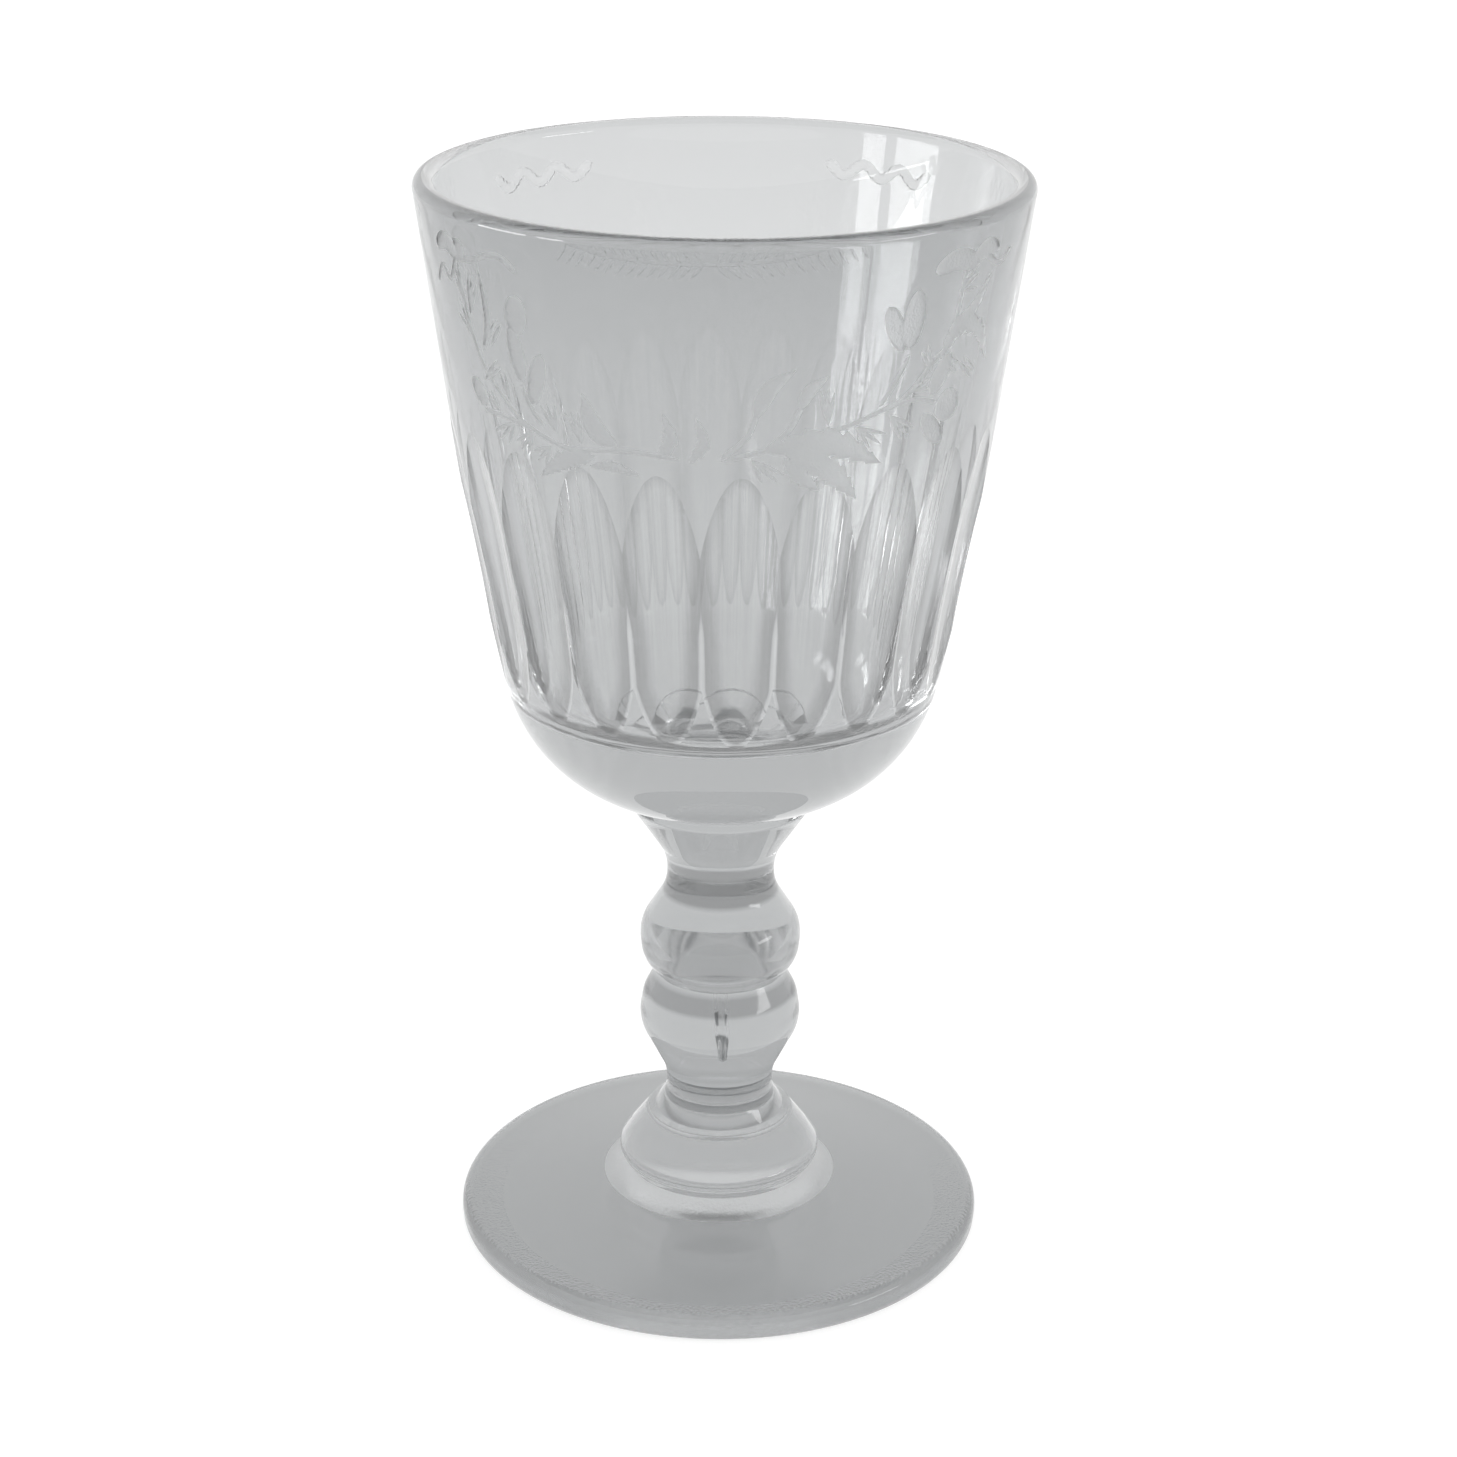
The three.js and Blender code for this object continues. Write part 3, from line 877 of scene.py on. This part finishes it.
def add(tree, kind, operation=None, **values):
    """A new node with the given inputs, whose names have _ for a space."""
    made = tree.nodes.new("ShaderNode" + kind)
    if operation:
        made.operation = operation
    for name, value in values.items():
        made.inputs[name.replace("_", " ")].default_value = value
    return made


def add_range(tree, low, high, to_low, to_high):
    return add(tree, "MapRange", From_Min=low, From_Max=high, To_Min=to_low, To_Max=to_high)


def glass(name, tint, roughness=0.0, ripple=SLIGHT, ripples=STEM_RIPPLES):
    """Clear glass with a tint and the faint waves of a hand-made surface."""
    made, tree = material(name)
    shader = tree.nodes["Principled BSDF"]
    shader.inputs["Base Color"].default_value = (*tint, 1)
    shader.inputs["Roughness"].default_value = roughness
    shader.inputs["IOR"].default_value = GLASS_IOR
    shader.inputs["Transmission Weight"].default_value = 1
    where = add(tree, "TexCoord")
    stretch = add(tree, "Mapping", Scale=ripples)
    noise = add(tree, "TexNoise", Scale=1, Detail=2)
    bump = add(tree, "Bump", Distance=ripple)
    link = tree.links.new
    link(where.outputs["Object"], stretch.inputs["Vector"])
    link(stretch.outputs["Vector"], noise.inputs["Vector"])
    link(noise.outputs["Fac"], bump.inputs["Height"])
    link(bump.outputs["Normal"], shader.inputs["Normal"])
    return made


def place_parts(tree):
    """The node that gives a point's X, Y and Z on the object."""
    where = add(tree, "TexCoord")
    parts = add(tree, "SeparateXYZ")
    tree.links.new(where.outputs["Object"], parts.inputs["Vector"])
    return parts


def painted_shade_banded_glass(name, bands, roughness=0.0, ripples=STEM_RIPPLES):
    """Glass whose tint changes with height, as its bands say, which paint shade in darker bands.
    """
    (low, tint), (high, last) = bands[0], bands[-1]
    made = glass(name, tint, roughness, ripples=ripples)
    tree = made.node_tree
    parts = place_parts(tree)
    rise = add_range(tree, low, high, 0, 1)
    ramp = add(tree, "ValToRGB")
    stops = ramp.color_ramp.elements
    stops[0].color = (*tint, 1)
    stops[1].color = (*last, 1)
    for height, middle in bands[1:-1]:
        stops.new((height - low) / (high - low)).color = (*middle, 1)
    link = tree.links.new
    link(parts.outputs["Z"], rise.inputs["Value"])
    link(rise.outputs["Result"], ramp.inputs["Fac"])
    link(ramp.outputs["Color"], tree.nodes["Principled BSDF"].inputs["Base Color"])
    return made


def flute_painted_light(tree):
    """Tint of a flute: a painted highlight on its edge and painted shade beside it."""
    across = add(tree, "Attribute")
    across.attribute_name = "flute_painted_light_share"
    ramp = add(tree, "ValToRGB")
    stops = ramp.color_ramp.elements
    stops[0].color = (*FLUTE_EDGE_PAINTED_HIGHLIGHT, 1)
    stops[1].color = (*WALL_TINT, 1)
    for place, level in FLUTE_PAINTED_SHADE_TONES:
        stops.new(place).color = (*[level * share for share in FLUTE_HUE], 1)
    tree.links.new(across.outputs["Fac"], ramp.inputs["Fac"])
    return ramp.outputs["Color"]


def wheel_lines(tree):
    """Factor for the tint of a flute, from the fine upright lines that the wheel left."""
    link = tree.links.new
    parts = place_parts(tree)
    turn = add(tree, "Math", "ARCTAN2")
    joined = add(tree, "CombineXYZ")
    stretch = add(tree, "Mapping", Scale=WHEEL_LINES)
    lines = add(tree, "TexNoise", Scale=1, Detail=3)
    level = add_range(tree, *LINE_LEVELS)
    link(parts.outputs["X"], turn.inputs[0])
    link(parts.outputs["Y"], turn.inputs[1])
    link(turn.outputs["Value"], joined.inputs["X"])
    link(parts.outputs["Z"], joined.inputs["Z"])
    link(joined.outputs["Vector"], stretch.inputs["Vector"])
    link(stretch.outputs["Vector"], lines.inputs["Vector"])
    link(lines.outputs["Fac"], level.inputs["Value"])

    by_height = add_range(tree, *LINES_BY_HEIGHT)
    by_depth = add_range(tree, *LINES_BY_DEPTH)
    amount = add(tree, "Math", "MULTIPLY")
    factor = add(tree, "Mix")
    factor.inputs["A"].default_value = 1
    link(parts.outputs["Z"], by_height.inputs["Value"])
    link(parts.outputs["Y"], by_depth.inputs["Value"])
    link(by_height.outputs["Result"], amount.inputs[0])
    link(by_depth.outputs["Result"], amount.inputs[1])
    link(amount.outputs["Value"], factor.inputs["Factor"])
    link(level.outputs["Result"], factor.inputs["B"])
    return factor.outputs["Result"]


def ground_glass(name):
    """The flutes' glass, with the painted highlight and shade of their edges and the wheel's
    lines.
    """
    made = glass(name, WALL_TINT, ripples=(400, 400, 10))
    tree = made.node_tree
    shaded = add(tree, "VectorMath", "SCALE")
    tree.links.new(flute_painted_light(tree), shaded.inputs[0])
    tree.links.new(wheel_lines(tree), shaded.inputs["Scale"])
    shader = tree.nodes["Principled BSDF"]
    tree.links.new(shaded.outputs["Vector"], shader.inputs["Base Color"])
    return made


def clear_joint():
    """The hidden faces where two gathers of glass are fused, which light passes unchanged."""
    made, tree = material("fused_joint")
    tree.nodes.remove(tree.nodes["Principled BSDF"])
    clear = add(tree, "BsdfTransparent")
    tree.links.new(clear.outputs["BSDF"], tree.nodes["Material Output"].inputs["Surface"])
    return made


joint = clear_joint()
bowl_glass = painted_shade_banded_glass("bowl_glass", WALL_PAINTED_SHADE_BANDS, ripples=WALL_RIPPLES)
inner_glass = glass("inner_glass", NO_TINT, ripples=WALL_RIPPLES)
floor_glass = glass("floor_glass", NO_TINT, roughness=0.1, ripple=0.00005, ripples=(200,) * 3)
flute_glass = ground_glass("flute_glass")
engraved_glass = glass(
    "engraved_glass", ENGRAVED_TINT, roughness=0.28, ripple=0.00008, ripples=(3000,) * 3
)
stem_glass = painted_shade_banded_glass("stem_glass", STEM_PAINTED_SHADE_BANDS, roughness=0.08)
collar_glass = painted_shade_banded_glass("collar_glass", COLLAR_PAINTED_SHADE_BANDS, roughness=0.02)
wafer_glass = glass("wafer_glass", WAFER_TINT, roughness=0.02)
foot_glass = glass("foot_glass", FOOT_TINT, roughness=0.12)
hazy_painted_light_glass = glass("hazy_painted_light_glass", HAZE_AND_PAINTED_LIGHT_TINT, roughness=0.3, ripple=0.0001, ripples=(1500,) * 3)
worn_glass = glass("worn_glass", FOOT_TINT, roughness=0.15, ripple=0.00005, ripples=(2500,) * 3)
STEM_MATERIALS = [stem_glass, joint, stem_glass, stem_glass, inner_glass]


# The pieces

def bowl():
    seat = seat_of("bowl")
    half = len(WHOLE_OUTLINE) // 2
    outside = [p for p in WHOLE_OUTLINE[:half] if p[1] < BAND_FOOT - BAND_JOIN]
    foot = (float(wall_radius(BAND_FOOT)), BAND_FOOT)
    head = (float(wall_radius(BAND_HEAD)), BAND_HEAD)
    heights = [height for _, height in WHOLE_OUTLINE]
    lip = next(i for i, height in enumerate(heights) if height > BAND_HEAD + BAND_JOIN)
    top = heights.index(max(heights))
    floor_top = BASE_THICKNESS + CAVITY_HAZE_HEIGHT
    floor = next(i for i, height in enumerate(heights) if i > top and height < floor_top)
    skin = Skin()
    skin.turned([(0, 0), (BOWL_SEAT_RADIUS, 0)], seat, JOINT, COLUMNS)
    skin.turned(outside + [foot], seat, POLISHED, COLUMNS)
    points, faces, slots, shares = engraved_wall()
    skin.patch(points + (0, 0, seat), faces, slots, shares)
    skin.turned([head] + WHOLE_OUTLINE[lip:top + 1], seat, POLISHED, COLUMNS)
    skin.turned(WHOLE_OUTLINE[top:floor + 1], seat, INNER, COLUMNS)
    skin.turned(WHOLE_OUTLINE[floor:], seat, CAVITY_FLOOR, COLUMNS)
    materials = [bowl_glass, joint, flute_glass, engraved_glass, inner_glass, floor_glass]
    skin.piece("glass_bowl", materials, "bowl")


def bowl_collar():
    height = height_of("bowl_collar")
    seat = seat_of("bowl_collar")
    edge_foot = height - BOWL_COLLAR_EDGE_THICKNESS
    skin = Skin()
    skin.turned([(0, 0), (UPPER_NECK_RADIUS, 0)], seat, JOINT, STEM_COLUMNS)
    skin.turned(rounded([
        (UPPER_NECK_RADIUS, 0),
        (UPPER_NECK_RADIUS, BOWL_COLLAR_NECK_HEAD, BOWL_COLLAR_NECK_ROUND),
        (BOWL_COLLAR_RADIUS, edge_foot, BOWL_COLLAR_EDGE_ROUND),
        (BOWL_SEAT_RADIUS, height),
    ]), seat, POLISHED, STEM_COLUMNS)
    skin.turned([(BOWL_SEAT_RADIUS, height), (0, height)], seat, JOINT, STEM_COLUMNS)
    skin.piece("collar_under_bowl", [collar_glass, joint], "bowl_collar")


def upper_knop():
    height = height_of("upper_knop")
    seat = seat_of("upper_knop")
    skin = Skin()
    skin.turned([(0, 0), (TEAR_MOUTH_RADIUS, 0)], seat, INNER, STEM_COLUMNS)
    skin.turned([(TEAR_MOUTH_RADIUS, 0), (WAIST_RADIUS, 0)], seat, JOINT, STEM_COLUMNS)
    skin.turned(rounded([
        (WAIST_RADIUS, 0),
        (UPPER_CHIN_RADIUS, UPPER_CHIN_HEIGHT, UPPER_CHIN_ROUND),
        (UPPER_BULGE_RADIUS, UPPER_BULGE_HEIGHT, UPPER_BULGE_ROUND),
        (UPPER_NECK_RADIUS, UPPER_NECK_FOOT, UPPER_NECK_ROUND),
        (UPPER_NECK_RADIUS, height),
    ]), seat, POLISHED, STEM_COLUMNS)
    skin.turned([(UPPER_NECK_RADIUS, height), (0, height)], seat, JOINT, STEM_COLUMNS)
    skin.piece("knop_above_waist", STEM_MATERIALS, "upper_knop")


def tear_outline(top):
    """The tear from its mouth down to its tip."""
    outline = []
    for k in range(TEAR_STEPS):
        down = k / TEAR_STEPS
        radius = TEAR_MOUTH_RADIUS + TEAR_NECK_SPREAD * down
        if down > TEAR_NECK_SHARE:
            lobed = (down - TEAR_NECK_SHARE) / (1 - TEAR_NECK_SHARE)
            swell = TEAR_LOBE_SWELL * abs(math.cos(math.tau * TEAR_LOBE_WAVES * lobed))
            radius = (TEAR_MOUTH_RADIUS + swell) * (1 - lobed ** TEAR_TIP_POWER)
        outline.append((radius, top - TEAR_LENGTH * down))
    return outline + [(0, top - TEAR_LENGTH)]


def lower_knop():
    height = height_of("lower_knop")
    seat = seat_of("lower_knop")
    skin = Skin()
    skin.turned([(0, 0), (SKIRT_RADIUS, 0)], seat, JOINT, STEM_COLUMNS)
    skin.turned(rounded([
        (SKIRT_RADIUS, 0),
        (SKIRT_RADIUS, SKIRT_THICKNESS, SKIRT_ROUND),
        (FLARE_RADIUS, FLARE_HEIGHT, SKIRT_ROUND),
        (LOWER_NECK_RADIUS, LOWER_NECK_FOOT, FLARE_ROUND),
        (LOWER_NECK_RADIUS, LOWER_NECK_HEAD, LOWER_NECK_ROUND),
        (LOWER_BULGE_RADIUS, LOWER_BULGE_HEIGHT, LOWER_BULGE_ROUND),
        (LOWER_SHOULDER_RADIUS, LOWER_SHOULDER_HEIGHT, LOWER_SHOULDER_ROUND),
        (WAIST_RADIUS, height),
    ]), seat, POLISHED, STEM_COLUMNS)
    skin.turned([(WAIST_RADIUS, height), (TEAR_MOUTH_RADIUS, height)], seat, JOINT, STEM_COLUMNS)

    def lean(at):
        return TEAR_LEAN * ((height - at) / TEAR_LENGTH) ** 2, 0

    skin.turned(tear_outline(height), seat, INNER, STEM_COLUMNS, lean)
    skin.piece("knop_with_tear", STEM_MATERIALS, "lower_knop")


def foot_collar():
    height = height_of("foot_collar")
    seat = seat_of("foot_collar")
    skin = Skin()
    skin.turned([(0, 0), (FOOT_COLLAR_SEAT_RADIUS, 0)], seat, JOINT, STEM_COLUMNS)
    skin.turned(rounded([
        (FOOT_COLLAR_SEAT_RADIUS, 0),
        (FOOT_COLLAR_RADIUS, FOOT_COLLAR_BELLY_HEIGHT, FOOT_COLLAR_BELLY_ROUND),
        (FOOT_COLLAR_SHOULDER_RADIUS, FOOT_COLLAR_SHOULDER_HEIGHT, FOOT_COLLAR_SHOULDER_ROUND),
        (FOOT_COLLAR_TOP_RADIUS, height),
        (SKIRT_RADIUS, height),
    ]), seat, POLISHED, STEM_COLUMNS)
    skin.turned([(SKIRT_RADIUS, height), (0, height)], seat, JOINT, STEM_COLUMNS)
    skin.piece("collar_on_foot", [wafer_glass, joint], "foot_collar")


def foot():
    height = height_of("foot")
    radius = reach_of("foot")
    ring_edge = radius - FOOT_EDGE_ROUND
    hollow = [(0, FOOT_HOLLOW_DEPTH), (REST_RING_INNER_RADIUS, 0)]
    top = rounded([
        (ring_edge, 0),
        (radius, 0, FOOT_EDGE_ROUND),
        (radius, FOOT_EDGE_HEIGHT, FOOT_EDGE_ROUND),
        (FOOT_BOSS_RADIUS, FOOT_BOSS_BASE_HEIGHT, FOOT_BOSS_ROUND),
        (FOOT_COLLAR_SEAT_RADIUS, height),
    ])
    boss = next(
        i for i, (r, h) in enumerate(top) if r < FOOT_HAZE_AND_PAINTED_LIGHT_RADIUS and h > FOOT_HAZE_AND_PAINTED_LIGHT_LOWEST
    )
    skin = Skin()
    skin.turned(hollow, 0, POLISHED, COLUMNS)
    skin.turned([(REST_RING_INNER_RADIUS, 0), (ring_edge, 0)], 0, WORN, COLUMNS)
    skin.turned(top[:boss + 1], 0, POLISHED, COLUMNS)
    skin.turned(top[boss:], 0, HAZY_PAINTED_LIGHT, COLUMNS)
    skin.turned([(FOOT_COLLAR_SEAT_RADIUS, height), (0, height)], 0, JOINT, COLUMNS)
    materials = [foot_glass, joint, foot_glass, worn_glass, hazy_painted_light_glass]
    skin.piece("round_foot", materials, "foot")


foot()
foot_collar()
lower_knop()
upper_knop()
bowl_collar()
bowl()


# Floor, backdrop, light and camera, in metres apart from the camera's own settings

FLOOR_SIZE = 6
FLOOR_DROP = 0.0001
FLOOR_SHADE = 0.8
PAPER_SHADE = 0.42
PAPER_GLOW = 0.78
ROOM_LIGHT = 1.2
CEILING_RADIUS = 0.95
CEILING_HEIGHT = 1.1
CEILING_SIDES = 96
CEILING_GLOW = 0.3
STRIP_HEIGHT = 0.085
STRIP_DISTANCE = 1
STRIP_TALL = 0.16
STRIP_RADIANCE = 9


def seen_by_eye_and_glass(tree):
    """1 for rays from the camera, and for those that metal or glass sends on, else 0."""
    path = add(tree, "LightPath")
    both = add(tree, "Math", "MAXIMUM")
    every = add(tree, "Math", "MAXIMUM")
    tree.links.new(path.outputs["Is Camera Ray"], both.inputs[0])
    tree.links.new(path.outputs["Is Glossy Ray"], both.inputs[1])
    tree.links.new(both.outputs["Value"], every.inputs[0])
    tree.links.new(path.outputs["Is Transmission Ray"], every.inputs[1])
    return every.outputs["Value"]


def white_floor():
    """A pale sheet that shows as white to the eye and the glass, and keeps the shadow."""
    bpy.ops.mesh.primitive_plane_add(size=FLOOR_SIZE, location=(0, 0, -FLOOR_DROP))
    floor = bpy.context.object
    floor.name = "floor"
    made, tree = material("floor_paper")
    shader = tree.nodes["Principled BSDF"]
    shader.inputs["Base Color"].default_value = (*[FLOOR_SHADE] * 3, 1)
    shader.inputs["Roughness"].default_value = 0.9
    paper = add(tree, "BsdfDiffuse", Color=(*[PAPER_SHADE] * 3, 1))
    glow = add(tree, "Emission", Strength=PAPER_GLOW)
    sheet = add(tree, "AddShader")
    mix = add(tree, "MixShader")
    link = tree.links.new
    link(paper.outputs["BSDF"], sheet.inputs[0])
    link(glow.outputs["Emission"], sheet.inputs[1])
    link(seen_by_eye_and_glass(tree), mix.inputs["Fac"])
    link(shader.outputs["BSDF"], mix.inputs[1])
    link(sheet.outputs["Shader"], mix.inputs[2])
    link(mix.outputs["Shader"], tree.nodes["Material Output"].inputs["Surface"])
    floor.data.materials.append(made)


def white_world():
    """A white room that lights the glass, and shows as plain white to the eye and the glass."""
    world = bpy.data.worlds.new("studio")
    bpy.context.scene.world = world
    world.use_nodes = True
    tree = world.node_tree
    room = tree.nodes["Background"]
    room.inputs["Color"].default_value = (1, 1, 1, 1)
    room.inputs["Strength"].default_value = ROOM_LIGHT
    white = add(tree, "Background", Color=(1, 1, 1, 1), Strength=1)
    mix = add(tree, "MixShader")
    link = tree.links.new
    link(seen_by_eye_and_glass(tree), mix.inputs["Fac"])
    link(room.outputs["Background"], mix.inputs[1])
    link(white.outputs["Background"], mix.inputs[2])
    link(mix.outputs["Shader"], tree.nodes["World Output"].inputs["Surface"])


def ceiling():
    """A grey diffuser over the glass, which gives the thick glass its darker bands."""
    bpy.ops.mesh.primitive_circle_add(
        vertices=CEILING_SIDES, radius=CEILING_RADIUS, fill_type="NGON",
        location=(0, 0, CEILING_HEIGHT)
    )
    sheet = bpy.context.object
    sheet.name = "ceiling"
    made, tree = material("ceiling_cloth")
    tree.nodes.remove(tree.nodes["Principled BSDF"])
    glow = add(tree, "Emission", Strength=CEILING_GLOW)
    tree.links.new(glow.outputs["Emission"], tree.nodes["Material Output"].inputs["Surface"])
    sheet.data.materials.append(made)


CAMERA_DISTANCE = 0.4025
CAMERA_HEIGHT = 0.2316
CAMERA_AZIMUTH = math.radians(-3.6)
CAMERA_PITCH = math.radians(21.39)
CAMERA_ROLL = math.radians(0.343)
CAMERA_LENS = 78.57
CAMERA_SENSOR = 36
CAMERA_SHIFT = 0.0048
CAMERA_NEAREST = 0.01


def direction(azimuth):
    """Level unit vector from the glass towards an azimuth in radians."""
    return Vector((math.sin(azimuth), -math.cos(azimuth), 0))


def camera():
    data = bpy.data.cameras.new("camera")
    made = bpy.data.objects.new("camera", data)
    bpy.context.scene.collection.objects.link(made)
    made.location = direction(CAMERA_AZIMUTH) * CAMERA_DISTANCE + Vector((0, 0, CAMERA_HEIGHT))
    turn = Euler((0, 0, CAMERA_AZIMUTH)).to_matrix()
    tilt = Euler((math.pi / 2 - CAMERA_PITCH, 0, 0)).to_matrix()
    roll = Euler((0, 0, CAMERA_ROLL)).to_matrix()
    made.rotation_euler = (turn @ tilt @ roll).to_euler()
    data.lens = CAMERA_LENS
    data.sensor_width = CAMERA_SENSOR
    data.shift_x = CAMERA_SHIFT
    data.clip_start = CAMERA_NEAREST
    bpy.context.scene.camera = made


def panel(name, azimuth, height, distance, width, tall, radiance):
    """A soft upright lamp that faces the glass, its middle at a height."""
    data = bpy.data.lights.new(name, "AREA")
    data.shape = "RECTANGLE"
    data.size = width
    data.size_y = tall
    data.energy = radiance * math.pi * width * tall
    made = bpy.data.objects.new(name, data)
    bpy.context.scene.collection.objects.link(made)
    toward = direction(math.radians(azimuth))
    made.location = toward * distance + Vector((0, 0, height))
    made.rotation_euler = toward.to_track_quat("Z", "Y").to_euler()
    return made


def strip(name, azimuth, width):
    """A low upright lamp that lights the bowl alone, and shows there only as a reflection."""
    made = panel(
        name, azimuth, STRIP_HEIGHT, STRIP_DISTANCE, width, STRIP_TALL, STRIP_RADIANCE
    )
    lit = bpy.data.collections.new(name + "_lights")
    lit.objects.link(bpy.data.objects["glass_bowl"])
    made.light_linking.receiver_collection = lit
    made.data.use_nodes = True
    tree = made.data.node_tree
    path = add(tree, "LightPath")
    reflected = add(tree, "Math", "MINIMUM")
    reflected.inputs[1].default_value = 1
    tree.links.new(path.outputs["Glossy Depth"], reflected.inputs[0])
    tree.links.new(reflected.outputs["Value"], tree.nodes["Emission"].inputs["Strength"])


white_floor()
white_world()
ceiling()
camera()
panel("window_right", azimuth=66, height=0.68, distance=2, width=0.9, tall=0.24, radiance=5)
strip("low_strip_narrow", azimuth=-66.8, width=0.185)
strip("low_strip_wide", azimuth=-88.8, width=0.41)
bpy.context.scene.view_settings.view_transform = "Standard"
bpy.context.scene.cycles.max_bounces = 32
bpy.context.scene.cycles.glossy_bounces = 24
bpy.context.scene.cycles.transmission_bounces = 32
